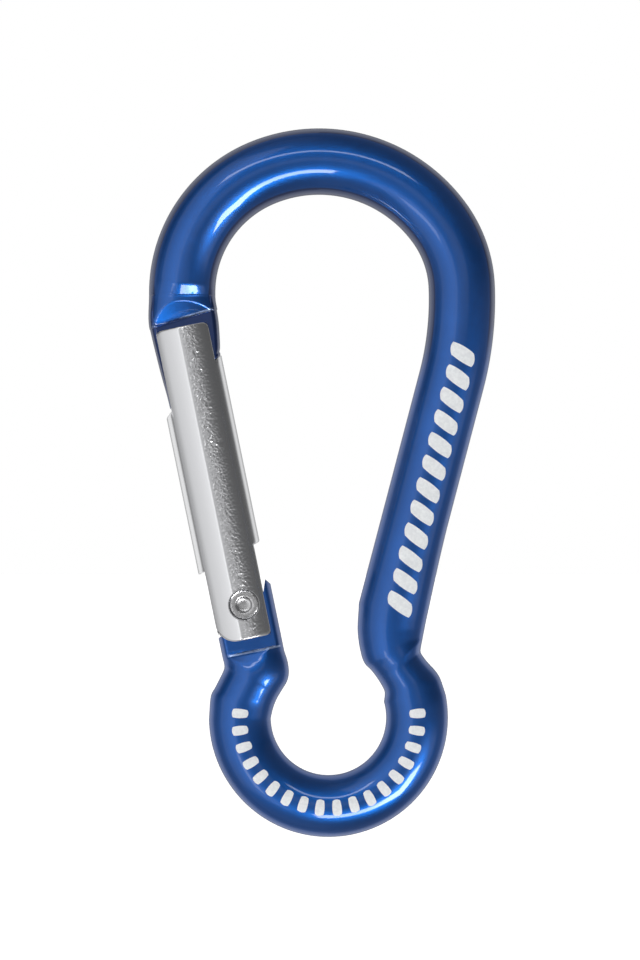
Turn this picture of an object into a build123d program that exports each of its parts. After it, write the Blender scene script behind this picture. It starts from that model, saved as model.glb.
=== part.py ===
from build123d import *
import os
from math import cos, radians, sin, sqrt

# Snap-gate accessory carabiner, 80 mm long, in millimetres.
# The origin is at the inside crown of the bow, in the mid-plane. +Z runs up from the eye to the bow,
# +X from the gate to the spine, and +Y through the thickness, away from the printed face.

# ---------------------------------------------------------------- driving dimensions

# The frame is one bent round rod, drawn down a little where it turns round the eye.
ROD_RADIUS = 3.75
EYE_ROD_RADIUS = 3.5
TAPER_LENGTH = 1.5

# Bow: arcs tangent to each other, from the crown down each side, as (radius, turn in degrees).
SPINE_SIDE_ARCS = ((16.8, 54.7), (13.1, 33.1), (36.0, 16.9))
NOSE_SIDE_ARCS = ((16.8, 22.5), (14.6, 67.5))
NOSE_STRAIGHT = 0.4

# Eye: a circle of centreline radius EYE_BEND, joined to spine and tang by a reverse bend on each side.
EYE_CENTRE = (1.06, -58.98)
EYE_BEND = 10.0
SPINE_NECK_BEND = 4.8
TANG_NECK_BEND = 3.6

# Gate: its own upright plane has its origin on the hinge pin, u across (inward) and v along the gate.
PIVOT = (-8.43, -46.20)
GATE_LEAN = 11.6
GATE_RADIUS = 3.75
GATE_AXIS_U = -0.635
GATE_TOP_V = 32.0
GATE_BOTTOM_V = -3.85
GATE_END_ROUND = 0.3
SLOT_HALF = 2.2

# Slot floors, as v where each one meets the outer and the inner side of the gate.
NOSE_SLOT_FLOOR = (22.3, 28.1)
TANG_SLOT_FLOOR = (4.27, 6.6)

# Flat blades pressed at the two ends of the rod, and the full-thickness shoulders behind them.
# The rod spreads to an oval at the nose's shoulder. Each shoulder has a ramp up to the round of the rod,
# given as its depth at the shoulder and its length.
BLADE_HALF = 2.0
NOSE_SHOULDER_V = 33.0
NOSE_OVAL = (4.0, 3.6)
NOSE_OVAL_U = -0.29
LOFT_OVERLAP = 0.1
TANG_SHOULDER_V = -5.2
NOSE_RAMP = (2.6, 3.2)
TANG_RAMP = (2.8, 2.0)
STOP_GAP = 0.15
PRESS_WIDTH = 16.0
PRESS_LENGTH = 14.0
PRESS_ALLOWANCE = 0.4

# Tang below the hinge pin.
TANG_OUTER_U = -3.62
TANG_INNER_U = 3.35
HORN_TIP = (2.87, 2.26)
HORN_SLOPE = 0.6
ROOT_OVERLAP = 1.0
BLADE_OVERLAP = 0.5

# Hinge rivet: its shank is tight in the gate's leaves and runs in the tang.
SHANK_RADIUS = 1.0
HINGE_CLEARANCE = 0.05
RIVET_SEAT_Y = 2.65
RIVET_HEAD_RADIUS = 1.7
RIVET_HEAD_THICKNESS = 0.42
RIVET_HEAD_ROUND = 0.12
RIVET_DIMPLE_RADIUS = 0.85
RIVET_DIMPLE_FLOOR = 0.68
RIVET_DIMPLE_DEPTH = 0.35
SEAT_CLEARANCE = 0.08

# Spring and plunger, in a blind bore inward of the pin so that they push the gate shut.
GATE_OPENING = 28.0
PLUNGER_OFFSET = 0.7
PLUNGER_REST_V = 1.7
PLUNGER_GAP = 0.05
PLUNGER_PIN_RADIUS = 0.55
PLUNGER_HEAD_RADIUS = 1.0
PLUNGER_HEAD_V = 8.0
PLUNGER_HEAD_LENGTH = 1.4
BORE_RADIUS = 1.05
SPRING_WIRE_RADIUS = 0.16
SPRING_MEAN_RADIUS = 0.78
SPRING_LENGTH = 9.0
SPRING_PITCH = 0.9

os.makedirs("parts", exist_ok=True)

# ---------------------------------------------------------------- planes and places

UPRIGHT = Plane.XZ
GATE_PLANE = Plane(
    origin=(PIVOT[0], 0, PIVOT[1]),
    x_dir=(cos(radians(GATE_LEAN)), 0, sin(radians(GATE_LEAN))),
    z_dir=(0, -1, 0),
)
GATE_UP = GATE_PLANE.y_dir
GATE_ACROSS = GATE_PLANE.x_dir
PIN_PLANE = Plane(origin=GATE_PLANE.origin, x_dir=GATE_ACROSS, z_dir=(0, 1, 0))


def on_gate(u, v):
    """The point of the gate's plane at u across and v along."""
    return GATE_PLANE.from_local_coords(Vector(u, v, 0))


def across_gate(u, v):
    """A plane square to the gate's length, with its origin at u, v."""
    return Plane(origin=on_gate(u, v), x_dir=GATE_ACROSS, z_dir=GATE_UP)


def slot_floor(levels, u):
    """v of a slot's slanted floor at u, from its levels at the outer and inner side of the gate."""
    outer, inner = levels
    return outer + (inner - outer) * (u - GATE_AXIS_U + GATE_RADIUS) / (2 * GATE_RADIUS)


def neck(run_start, heading, outward, bend):
    """One bend that joins a straight run to the eye: where the run ends and the turn in degrees."""
    eye = UPRIGHT.from_local_coords(Vector(*EYE_CENTRE, 0))
    base = run_start + outward * bend
    along = (eye - base).dot(heading)
    aside = (eye - base - heading * along).length
    centre = base + heading * (along - sqrt((EYE_BEND + bend) ** 2 - aside**2))
    turn = (outward * -1).get_angle(eye - centre)
    return centre - outward * bend, turn


def plunger_contact(turn):
    """Point of the tang that is under the plunger when the gate has opened by turn degrees.

    The points lie on an involute of a circle round the pin, so the plunger's travel is
    its offset from the pin times the angle, all the way."""
    angle = radians(turn)
    height = PLUNGER_REST_V + PLUNGER_OFFSET * angle
    u = PLUNGER_OFFSET * cos(angle) + height * sin(angle)
    v = height * cos(angle) - PLUNGER_OFFSET * sin(angle)
    return u, v


# ---------------------------------------------------------------- frame

# Centreline of the bow and spine, worked out from the crown both ways.
with BuildLine(UPRIGHT) as bow_line:
    start, tangent = (0, ROD_RADIUS), (-1, 0)
    for radius, turn in NOSE_SIDE_ARCS:
        bend = JernArc(start=start, tangent=tangent, radius=radius, arc_size=turn)
        start, tangent = bend @ 1, bend % 1
    nose_end = start + tangent * NOSE_STRAIGHT
    Line(start, nose_end)
    start, tangent = (0, ROD_RADIUS), (1, 0)
    for radius, turn in SPINE_SIDE_ARCS:
        bend = JernArc(start=start, tangent=tangent, radius=radius, arc_size=-turn)
        start, tangent = bend @ 1, bend % 1
    outward = tangent.rotate(Axis.Y, -90)
    spine_end, spine_turn = neck(start, tangent, outward, SPINE_NECK_BEND)
    spine_heading = tangent
    Line(start, spine_end - spine_heading * TAPER_LENGTH)

# Centreline from the foot of the spine round the eye to the tang.
tang_middle = (TANG_OUTER_U + TANG_INNER_U) / 2
tang_top = on_gate(tang_middle, TANG_SHOULDER_V)
tang_foot, tang_turn = neck(tang_top, GATE_UP * -1, GATE_ACROSS * -1, TANG_NECK_BEND)
with BuildLine(UPRIGHT) as eye_line:
    spine_neck = JernArc(spine_end, spine_heading, SPINE_NECK_BEND, spine_turn)
    tang_neck = JernArc(tang_foot, GATE_UP * -1, TANG_NECK_BEND, -tang_turn)
    eye = UPRIGHT.from_local_coords(Vector(*EYE_CENTRE, 0))
    eye_bottom = eye - Vector(0, 0, EYE_BEND)
    ThreePointArc(spine_neck @ 1, eye_bottom, tang_neck @ 1)
    Line(tang_foot, tang_top)

# Outline of the nose blade, in the gate's plane, from its root inward and down to its tip.
NOSE_OUTLINE = (
    (3.65, NOSE_SHOULDER_V + BLADE_OVERLAP),
    (3.6, 32.0),
    (3.2, 29.2),
    (2.95, slot_floor(NOSE_SLOT_FLOOR, 2.95) + STOP_GAP),
    (-3.75, slot_floor(NOSE_SLOT_FLOOR, -3.75) + STOP_GAP),
    (-4.05, 26.9),
    (-4.15, 30.5),
    (-4.22, NOSE_SHOULDER_V + BLADE_OVERLAP),
)
NOSE_CORNER = 0.35

# Places on the tang's outline, in the gate's plane. The plunger pushes between SEAT_LOW and SEAT_HIGH.
SEAT_LOW = plunger_contact(GATE_OPENING)
SEAT_MIDDLE = plunger_contact(GATE_OPENING / 2)
SEAT_HIGH = plunger_contact(0)
HORN_NOTCH = ((2.42, 0.95), (2.05, 0.85))
KNUCKLE = ((-0.9, 1.7), (-2.1, 0.9), (-2.6, -0.6))
TANG_SHEAR = ((-2.9, -2.9), (TANG_OUTER_U, -3.2))
TANG_ROOT_V = TANG_SHOULDER_V - ROOT_OVERLAP


def ramp(shoulder_v, direction, levels):
    """Corners of the wedge that slopes from a shoulder to the rod's surface, in depth and along.

    Its outer side lies beyond the rod by PRESS_ALLOWANCE, and its slope goes on to there."""
    depth, run = levels
    outside = ROD_RADIUS + PRESS_ALLOWANCE
    end_v = shoulder_v + direction * run * (outside - depth) / (ROD_RADIUS - depth)
    return (depth, shoulder_v), (outside, shoulder_v), (outside, end_v)


with BuildPart() as frame:
    bow_path = bow_line.wire()
    with BuildSketch(Plane(origin=bow_path @ 0, z_dir=bow_path % 0)):
        Circle(ROD_RADIUS)
    sweep(path=bow_path)
    with BuildSketch(Plane(origin=nose_end, x_dir=(1, 0, 0), z_dir=(0, 0, 1))):
        Circle(ROD_RADIUS)
    with BuildSketch(across_gate(NOSE_OVAL_U, NOSE_SHOULDER_V - LOFT_OVERLAP)):
        Ellipse(*NOSE_OVAL)
    loft()
    eye_path = eye_line.wire()
    with BuildSketch(Plane(origin=eye_path @ 0, z_dir=eye_path % 0)):
        Circle(EYE_ROD_RADIUS)
    sweep(path=eye_path)
    taper_middle = Plane(origin=spine_end - spine_heading * TAPER_LENGTH / 2, z_dir=spine_heading)
    with Locations(taper_middle.location):
        Cone(ROD_RADIUS, EYE_ROD_RADIUS, TAPER_LENGTH)

    # Both ends are pressed flat: the rod is cut away beside the blades, up to the shoulders,
    # and each shoulder has a short ramp up to the round of the rod.
    for side in (1, -1):
        with BuildSketch(GATE_PLANE.offset(side * BLADE_HALF)):
            with Locations((0, NOSE_SHOULDER_V)):
                Rectangle(PRESS_WIDTH, PRESS_LENGTH, align=(Align.CENTER, Align.MAX))
            with Locations((0, TANG_SHOULDER_V)):
                Rectangle(PRESS_WIDTH, PRESS_LENGTH, align=(Align.CENTER, Align.MIN))
        extrude(amount=side * ROD_RADIUS, mode=Mode.SUBTRACT)
        with BuildSketch(Plane(origin=on_gate(0, 0), x_dir=(0, -side, 0), z_dir=GATE_ACROSS * side)):
            with BuildLine():
                Polyline(*ramp(NOSE_SHOULDER_V, 1, NOSE_RAMP), close=True)
            make_face()
            with BuildLine():
                Polyline(*ramp(TANG_SHOULDER_V, -1, TANG_RAMP), close=True)
            make_face()
        extrude(amount=PRESS_WIDTH / 2, both=True, mode=Mode.SUBTRACT)

    # Nose blade.
    with BuildSketch(GATE_PLANE) as nose_outline:
        with BuildLine():
            Polyline(*NOSE_OUTLINE, close=True)
        make_face()
        fillet(nose_outline.vertices().group_by(Axis.Z)[0:3], NOSE_CORNER)
    extrude(amount=BLADE_HALF, both=True)

    # Hinge tang: a knuckle round the pin, a seat for the plunger and a horn inward of it.
    with BuildSketch(GATE_PLANE):
        with BuildLine():
            Polyline((TANG_INNER_U, TANG_ROOT_V), (TANG_INNER_U, HORN_TIP[1] - HORN_SLOPE), HORN_TIP)
            Polyline(HORN_TIP, *HORN_NOTCH, SEAT_LOW)
            ThreePointArc(SEAT_LOW, SEAT_MIDDLE, SEAT_HIGH)
            Line(SEAT_HIGH, KNUCKLE[0])
            ThreePointArc(*KNUCKLE)
            Polyline(KNUCKLE[-1], *TANG_SHEAR, (TANG_OUTER_U, TANG_ROOT_V), (TANG_INNER_U, TANG_ROOT_V))
        make_face()
        Circle(SHANK_RADIUS + HINGE_CLEARANCE, mode=Mode.SUBTRACT)
    extrude(amount=BLADE_HALF, both=True)
frame.part.label = "frame"
export_step(frame.part, "parts/frame.step")

# ---------------------------------------------------------------- gate

LEAF_HALF = sqrt(GATE_RADIUS**2 - SLOT_HALF**2)
LEAF_OUTER_U = GATE_AXIS_U - LEAF_HALF
LEAF_INNER_U = GATE_AXIS_U + LEAF_HALF
# Rounded corners of the leaves: u, v, which way the leaf lies, and the radius. The cutter for each
# is a block that reaches beyond the leaf by CORNER_MARGIN.
LEAF_CORNERS = (
    (LEAF_OUTER_U, GATE_TOP_V, 1, -1, 0.7),
    (LEAF_INNER_U, GATE_TOP_V, -1, -1, 0.7),
    (LEAF_OUTER_U, GATE_BOTTOM_V, 1, 1, 2.2),
    (LEAF_INNER_U, GATE_BOTTOM_V, -1, 1, 0.6),
)
CORNER_MARGIN = 1.0
SLOT_MARGIN = 1.0
BORE_END_V = PLUNGER_HEAD_V + PLUNGER_HEAD_LENGTH + SPRING_LENGTH

with BuildPart() as gate:
    with BuildSketch(across_gate(GATE_AXIS_U, GATE_BOTTOM_V)):
        Circle(GATE_RADIUS)
    extrude(amount=GATE_TOP_V - GATE_BOTTOM_V)
    fillet(gate.edges().filter_by(GeomType.CIRCLE), GATE_END_ROUND)

    # A slot across each end leaves two leaves.
    with BuildSketch(GATE_PLANE):
        left, right = (GATE_AXIS_U + side * (GATE_RADIUS + SLOT_MARGIN) for side in (-1, 1))
        top, bottom = GATE_TOP_V + SLOT_MARGIN, GATE_BOTTOM_V - SLOT_MARGIN
        for levels, end_v in ((NOSE_SLOT_FLOOR, top), (TANG_SLOT_FLOOR, bottom)):
            with BuildLine():
                Polyline(
                    (left, end_v),
                    (right, end_v),
                    (right, slot_floor(levels, right)),
                    (left, slot_floor(levels, left)),
                    close=True,
                )
            make_face()
    extrude(amount=SLOT_HALF, both=True, mode=Mode.SUBTRACT)

    with BuildSketch(GATE_PLANE):
        for u, v, inward, along, radius in LEAF_CORNERS:
            centre = (u + inward * radius, v + along * radius)
            with Locations((u - inward * CORNER_MARGIN, v - along * CORNER_MARGIN)):
                align = (Align.MIN if inward > 0 else Align.MAX, Align.MIN if along > 0 else Align.MAX)
                Rectangle(radius + CORNER_MARGIN, radius + CORNER_MARGIN, align=align)
            with Locations(centre):
                Circle(radius, mode=Mode.SUBTRACT)
    extrude(amount=GATE_RADIUS, both=True, mode=Mode.SUBTRACT)

    # Hole for the rivet, spot-faced on both sides, and the bore for spring and plunger.
    with BuildSketch(GATE_PLANE):
        Circle(SHANK_RADIUS)
    extrude(amount=GATE_RADIUS, both=True, mode=Mode.SUBTRACT)
    for side in (1, -1):
        with BuildSketch(GATE_PLANE.offset(side * RIVET_SEAT_Y)):
            Circle(RIVET_HEAD_RADIUS + SEAT_CLEARANCE)
        extrude(amount=side * GATE_RADIUS, mode=Mode.SUBTRACT)
    with BuildSketch(across_gate(PLUNGER_OFFSET, 0)):
        Circle(BORE_RADIUS)
    extrude(amount=BORE_END_V, mode=Mode.SUBTRACT)
gate.part.label = "gate"
export_step(gate.part, "parts/gate.step")

# ---------------------------------------------------------------- hinge rivet

HEAD_TOP = RIVET_SEAT_Y + RIVET_HEAD_THICKNESS

with BuildPart() as hinge_rivet:
    with BuildSketch(PIN_PLANE):
        Circle(SHANK_RADIUS)
    extrude(amount=RIVET_SEAT_Y, both=True)
    for side in (1, -1):
        with BuildSketch(PIN_PLANE.offset(side * RIVET_SEAT_Y)):
            Circle(RIVET_HEAD_RADIUS)
        extrude(amount=side * RIVET_HEAD_THICKNESS)
        rim = hinge_rivet.edges().filter_by(GeomType.CIRCLE).sort_by(Axis.Y)[-1 if side > 0 else 0]
        fillet(rim, RIVET_HEAD_ROUND)
        with Locations(PIN_PLANE.offset(side * (HEAD_TOP - RIVET_DIMPLE_DEPTH / 2)).location):
            bottom, top = (RIVET_DIMPLE_FLOOR, RIVET_DIMPLE_RADIUS)[::side]
            Cone(bottom, top, RIVET_DIMPLE_DEPTH, mode=Mode.SUBTRACT)
hinge_rivet.part.label = "hinge_rivet"
export_step(hinge_rivet.part, "parts/hinge_rivet.step")

# ---------------------------------------------------------------- spring plunger

with BuildPart() as spring_plunger:
    tip_v = PLUNGER_REST_V + PLUNGER_GAP
    with BuildSketch(across_gate(PLUNGER_OFFSET, tip_v + PLUNGER_PIN_RADIUS)):
        Circle(PLUNGER_PIN_RADIUS)
    extrude(amount=PLUNGER_HEAD_V - tip_v - PLUNGER_PIN_RADIUS)
    with Locations(across_gate(PLUNGER_OFFSET, tip_v + PLUNGER_PIN_RADIUS).location):
        Sphere(PLUNGER_PIN_RADIUS)
    with BuildSketch(across_gate(PLUNGER_OFFSET, PLUNGER_HEAD_V)):
        Circle(PLUNGER_HEAD_RADIUS)
    extrude(amount=PLUNGER_HEAD_LENGTH)
spring_plunger.part.label = "spring_plunger"
export_step(spring_plunger.part, "parts/spring_plunger.step")

# ---------------------------------------------------------------- gate spring

SPRING_FOOT_V = PLUNGER_HEAD_V + PLUNGER_HEAD_LENGTH + SPRING_WIRE_RADIUS
SPRING_RISE = SPRING_LENGTH - 2 * SPRING_WIRE_RADIUS

with BuildPart() as gate_spring:
    with BuildLine():
        foot = on_gate(PLUNGER_OFFSET, SPRING_FOOT_V)
        coil = Helix(SPRING_PITCH, SPRING_RISE, SPRING_MEAN_RADIUS, center=foot, direction=GATE_UP)
    with BuildSketch(Plane(origin=coil @ 0, z_dir=coil % 0)):
        Circle(SPRING_WIRE_RADIUS)
    sweep(path=coil, is_frenet=True)
gate_spring.part.label = "gate_spring"
export_step(gate_spring.part, "parts/gate_spring.step")
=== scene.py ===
from math import asin, cos, pi, radians, sin, sqrt

import bmesh
import bpy
import numpy as np
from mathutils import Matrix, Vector


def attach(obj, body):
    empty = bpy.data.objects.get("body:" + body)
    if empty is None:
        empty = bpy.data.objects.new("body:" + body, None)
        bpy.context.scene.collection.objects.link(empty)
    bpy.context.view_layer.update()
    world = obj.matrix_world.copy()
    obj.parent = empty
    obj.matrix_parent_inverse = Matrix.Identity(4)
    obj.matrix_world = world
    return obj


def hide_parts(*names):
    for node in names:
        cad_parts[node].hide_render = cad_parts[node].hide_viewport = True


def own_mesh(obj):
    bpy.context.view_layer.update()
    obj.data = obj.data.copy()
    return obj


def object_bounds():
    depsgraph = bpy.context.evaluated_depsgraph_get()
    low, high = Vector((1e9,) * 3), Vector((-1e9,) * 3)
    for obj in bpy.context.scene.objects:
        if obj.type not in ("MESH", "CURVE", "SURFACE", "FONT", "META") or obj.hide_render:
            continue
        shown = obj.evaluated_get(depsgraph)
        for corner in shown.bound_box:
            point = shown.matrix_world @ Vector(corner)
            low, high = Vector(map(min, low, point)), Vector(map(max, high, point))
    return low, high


# Looks of a snap-gate accessory carabiner: a blue anodised rod with pressed ends, a bright gate on a rivet.
# Shapes are worked out in millimetres, as in part.py, and turned into metres where a mesh is made.
# X runs from the gate to the spine, Y through the thickness (the printed face looks along -Y), Z up.

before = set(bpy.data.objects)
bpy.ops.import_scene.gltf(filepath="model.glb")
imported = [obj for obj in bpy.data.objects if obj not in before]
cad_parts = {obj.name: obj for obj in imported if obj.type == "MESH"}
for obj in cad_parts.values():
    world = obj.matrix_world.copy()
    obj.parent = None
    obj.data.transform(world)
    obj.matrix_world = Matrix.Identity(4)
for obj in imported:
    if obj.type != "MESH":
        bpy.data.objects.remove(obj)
cad_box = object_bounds()

MM = 0.001

# ---------------------------------------------------------------- sizes, as in part.py

ROD = 3.75
EYE_ROD = 3.5
TAPER = 1.5
CROWN = Vector((0.0, ROD))
EYE_BEND = 10.0
THINNING = 8.0
PRINT_PROUD = 0.02
PRINT_SUNK = 0.03

# The rod's centreline from the nose over the bow and down the spine: radius, turn in degrees.
NOSE_SIDE_ARCS = ((14.6, 67.5), (16.8, 22.5))
SPINE_SIDE_ARCS = ((16.8, 54.7), (13.1, 33.1), (36.0, 16.9))
NOSE_STRAIGHT = 0.4
SPINE_RUN = 28.28
SPINE_NECK = (4.8, -54.54)
EYE_TURN = 247.96
TANG_NECK = (3.6, -39.72)
TANG_RUN = 0.54

# The gate's plane: u across (inward) and v along the gate, from the hinge pin.
PIVOT = Vector((-8.43, -46.20))
LEAN = radians(11.6)
ACROSS = Vector((cos(LEAN), sin(LEAN)))
ALONG = Vector((-sin(LEAN), cos(LEAN)))
GATE_RADIUS = 3.75
GATE_AXIS = -0.635
GATE_TOP = 32.0
GATE_BOTTOM = -3.85
SLOT_HALF = 2.2
NOSE_FLOOR = (22.3, 28.1)
TANG_FLOOR = (4.27, 6.6)
BLADE_HALF = 2.0
OPENING = radians(28.0)
PIN_HOLE = 1.05
BORE_OFFSET = 0.7
BORE_RADIUS = 1.05
BORE_END = 18.4

Y_AXIS = Vector((0, 1, 0))
UP3 = Vector((ALONG.x, 0, ALONG.y))
ACROSS3 = Vector((ACROSS.x, 0, ACROSS.y))
PIVOT3 = Vector((PIVOT.x, 0, PIVOT.y))
BORE_ORIGIN = PIVOT3 + ACROSS3 * BORE_OFFSET


def on_gate(u, v):
    """The point (X, Z) at u across and v along the gate."""
    return PIVOT + ACROSS * u + ALONG * v


def slot_floor(levels, u):
    """v of a slot's slanted floor at u."""
    outer, inner = levels
    return outer + (inner - outer) * (u - GATE_AXIS + GATE_RADIUS) / (2 * GATE_RADIUS)


def smoothstep(low, high, x):
    """0 below low and 1 above high, with a smooth rise between."""
    t = np.clip((x - low) / (high - low), 0.0, 1.0)
    return t * t * (3 - 2 * t)


def soft_min(a, b, width):
    """The smaller of a and b, rounded over width where they cross."""
    t = np.clip(0.5 + 0.5 * (b - a) / width, 0.0, 1.0)
    return b * (1 - t) + a * t - width * t * (1 - t)


# ---------------------------------------------------------------- meshes


def make_piece(name, verts, faces):
    """A mesh object from points in millimetres."""
    mesh = bpy.data.meshes.new(name)
    mesh.from_pydata([tuple(x * MM for x in p) for p in verts], [], faces)
    mesh.validate()
    mesh.update()
    piece = bpy.data.objects.new(name, mesh)
    bpy.context.scene.collection.objects.link(piece)
    return piece


def clean(piece, merge=0.0):
    """Joins doubled points and turns all faces outward."""
    bm = bmesh.new()
    bm.from_mesh(piece.data)
    if merge:
        bmesh.ops.remove_doubles(bm, verts=bm.verts, dist=merge * MM)
    bmesh.ops.recalc_face_normals(bm, faces=bm.faces)
    bm.to_mesh(piece.data)
    bm.free()


def smooth(piece, angle=34):
    """Shades a piece smooth, except at edges that turn by more than angle degrees."""
    piece.data.shade_smooth()
    piece.data.set_sharp_from_angle(angle=radians(angle))


def cut(piece, tool):
    """Takes tool away from piece and deletes tool."""
    modifier = piece.modifiers.new("cut", "BOOLEAN")
    modifier.operation = "DIFFERENCE"
    modifier.object = tool
    modifier.solver = "MANIFOLD"
    graph = bpy.context.evaluated_depsgraph_get()
    result = bpy.data.meshes.new_from_object(piece.evaluated_get(graph))
    piece.modifiers.clear()
    piece.data = result
    bpy.data.objects.remove(tool)


def bevel(piece, width, segments, least_angle=35):
    """Rounds every convex edge that turns by more than least_angle."""
    bm = bmesh.new()
    bm.from_mesh(piece.data)
    edges = [
        e
        for e in bm.edges
        if e.is_manifold and e.is_convex and e.calc_face_angle() > radians(least_angle)
    ]
    bmesh.ops.bevel(bm, geom=edges, offset=width * MM, segments=segments, profile=0.5, affect="EDGES")
    bm.to_mesh(piece.data)
    bm.free()


def ring_faces(rings, around, first=0):
    """Quads between rings of points that follow one another."""
    faces = []
    for i in range(rings - 1):
        for j in range(around):
            a = first + i * around + j
            b = first + i * around + (j + 1) % around
            faces.append((a, b, b + around, a + around))
    return faces


def turned(name, profile, origin, axis, across, around=64):
    """A turned piece from (radius, height) points along axis, closed where the radius is 0."""
    third = axis.cross(across)
    verts, faces = [], []
    rows = []
    for radius, height in profile:
        if radius == 0:
            rows.append([len(verts)])
            verts.append(origin + axis * height)
            continue
        rows.append(list(range(len(verts), len(verts) + around)))
        for k in range(around):
            a = 2 * pi * k / around
            verts.append(origin + axis * height + (across * cos(a) + third * sin(a)) * radius)
    for low, high in zip(rows, rows[1:]):
        for k in range(around):
            after = k + 1
            quad = [low[k % len(low)], low[after % len(low)], high[after % len(high)], high[k % len(high)]]
            faces.append(tuple(dict.fromkeys(quad)))
    piece = make_piece(name, verts, faces)
    clean(piece)
    smooth(piece)
    return piece


def prism(name, outline, depth):
    """A closed block from an outline (u, v) of the gate's plane, from -depth to depth in Y."""
    count = len(outline)
    verts = []
    for y in (-depth, depth):
        for u, v in outline:
            x, z = on_gate(u, v)
            verts.append((x, y, z))
    faces = [tuple(range(count)), tuple(range(2 * count - 1, count - 1, -1))]
    faces += [(i, (i + 1) % count, count + (i + 1) % count, count + i) for i in range(count)]
    piece = make_piece(name, verts, faces)
    clean(piece)
    return piece


# ---------------------------------------------------------------- the rod's line

CURVE_STEPS = 24


class Route:
    """A plane line of runs and arcs, each tangent to the last. A positive turn is clockwise."""

    def __init__(self, start, heading, pieces):
        self.runs = []
        point, angle, reach = Vector(start), heading, 0.0
        for length, bend in pieces:
            self.runs.append((reach, point, angle, bend))
            point, angle = self.step(point, angle, bend, length)
            reach += length
        self.length = reach

    @staticmethod
    def step(point, angle, bend, length):
        """The point and heading after a run of length with one bend."""
        if not bend:
            return point + Vector((cos(angle), sin(angle))) * length, angle
        after = angle - bend * length
        chord = Vector((sin(after) - sin(angle), cos(angle) - cos(after)))
        return point - chord / bend, after

    def at(self, s):
        """The centre and the outward direction at s along the line."""
        reach, point, angle, bend = [r for r in self.runs if r[0] <= max(s, 0.0)][-1]
        point, angle = self.step(point, angle, bend, s - reach)
        return point, Vector((-sin(angle), cos(angle)))


def arc(radius, turn):
    """Length and bend of an arc."""
    return abs(radius * radians(turn)), (1 if turn > 0 else -1) / radius


(side_radius, _), (crown_radius, crown_turn) = NOSE_SIDE_ARCS
turn_sin, turn_cos = sin(radians(crown_turn)), cos(radians(crown_turn))
bow_start = CROWN + Vector((
    -turn_sin * crown_radius - (1 - turn_sin) * side_radius,
    -(1 - turn_cos) * crown_radius - turn_cos * side_radius - NOSE_STRAIGHT,
))
rod = Route(
    bow_start,
    pi / 2,
    [(NOSE_STRAIGHT, 0)]
    + [arc(*a) for a in NOSE_SIDE_ARCS + SPINE_SIDE_ARCS]
    + [(SPINE_RUN, 0), arc(*SPINE_NECK), arc(EYE_BEND, EYE_TURN), arc(*TANG_NECK), (TANG_RUN, 0)],
)
SPINE_START = NOSE_STRAIGHT + sum(arc(*a)[0] for a in NOSE_SIDE_ARCS + SPINE_SIDE_ARCS)
SPINE_END = SPINE_START + SPINE_RUN
EYE_START = SPINE_END + arc(*SPINE_NECK)[0]
EYE_END = EYE_START + arc(EYE_BEND, EYE_TURN)[0]


def rod_radius(s):
    """Half the rod's width in its own plane: the eye's is less."""
    return ROD + (EYE_ROD - ROD) * smoothstep(SPINE_END - TAPER, SPINE_END, s)


def rod_thickness(s):
    """Half the rod's thickness, which thins more slowly than its width and leaves room for the print."""
    thinned = smoothstep(SPINE_END - THINNING, EYE_START + THINNING / 2, s)
    return ROD - PRINT_PROUD + (EYE_ROD - ROD) * thinned


def curve_through(points):
    """A smooth line through the points given: close points on it, their reach along it, and the reach of
    the points given."""
    points = [np.array(p, float) for p in points]
    ends = [2 * points[0] - points[1]] + points + [2 * points[-1] - points[-2]]
    fine = []
    for p0, p1, p2, p3 in zip(ends, ends[1:], ends[2:], ends[3:]):
        for t in np.linspace(0, 1, CURVE_STEPS, endpoint=False):
            fine.append(
                0.5 * (2 * p1 + (p2 - p0) * t + (2 * p0 - 5 * p1 + 4 * p2 - p3) * t**2
                       + (3 * p1 - p0 - 3 * p2 + p3) * t**3)
            )
    fine = np.array(fine + [points[-1]])
    reach = np.concatenate([[0], np.cumsum(np.linalg.norm(np.diff(fine, axis=0), axis=1))])
    return fine, reach, reach[::CURVE_STEPS]


def along_curve(curve, reach):
    """Points of a curve at the reaches given."""
    fine, reaches, _ = curve
    return np.stack([np.interp(reach, reaches, fine[:, k]) for k in (0, 1)], axis=-1)


# ---------------------------------------------------------------- frame

AROUND = 80
NOSE_SHOULDER = ((-4.24, 32.5), (3.71, 33.2))
NOSE_BLADE_OUTER = ((-4.2, 32.45), (-4.15, 30.5), (-4.0, 27.2), (-3.84, 25.0), (-3.76, 23.3))
NOSE_BLADE_INNER = ((3.64, 33.15), (3.55, 31.6), (3.2, 29.2), (2.97, 28.45))
NOSE_TIP_ROUND = 0.34
# The rod necks down at the nose: from this height above the shoulder, by this slope, to this depth.
NOSE_NECK = (3.9, 0.37, 0.5)
# The flat scoop pressed into the neck: half thickness at the shoulder, slope, and lean to the outer side.
NOSE_SCOOP = (2.06, 0.57, 0.03)
# The slope pressed at the tang: half thickness at the shoulder, and its length.
TANG_RAMP = (2.5, 1.9)
TANG_TILT = 0.22
TANG_LENGTH = 8.6
# A pressed face rises from the blade's level over a short way along the rod, and is never below a low step.
BLADE_LIFT = 0.02
LEAST_STEP = 0.06
SHOULDER_RISE = (-0.02, 0.14)
# How widely two faces are rounded where they meet. The tang's shoulder: from, to, and over what length.
EDGE_SOFT = 0.45
NOSE_SOFT = 0.08
SCOOP_SOFT = 0.04
NECK_SOFT = 0.1
SHOULDER_SOFT = (0.12, 0.25, 0.8)
TANG_SOFT = 0.18
# The pressing has squared the nose: the power of the section's curve there, which is 2 where it is round.
BLADE_THICK = 3.3
SHOULDER_THICK = 3.6
BLADE_POWER = 2.6
POWER_DROP = 0.6
POWER_REACH = 4.5
BLADE_STEPS = 60
TIP_TURNS = (90, 72, 54, 36, 18)

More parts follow.
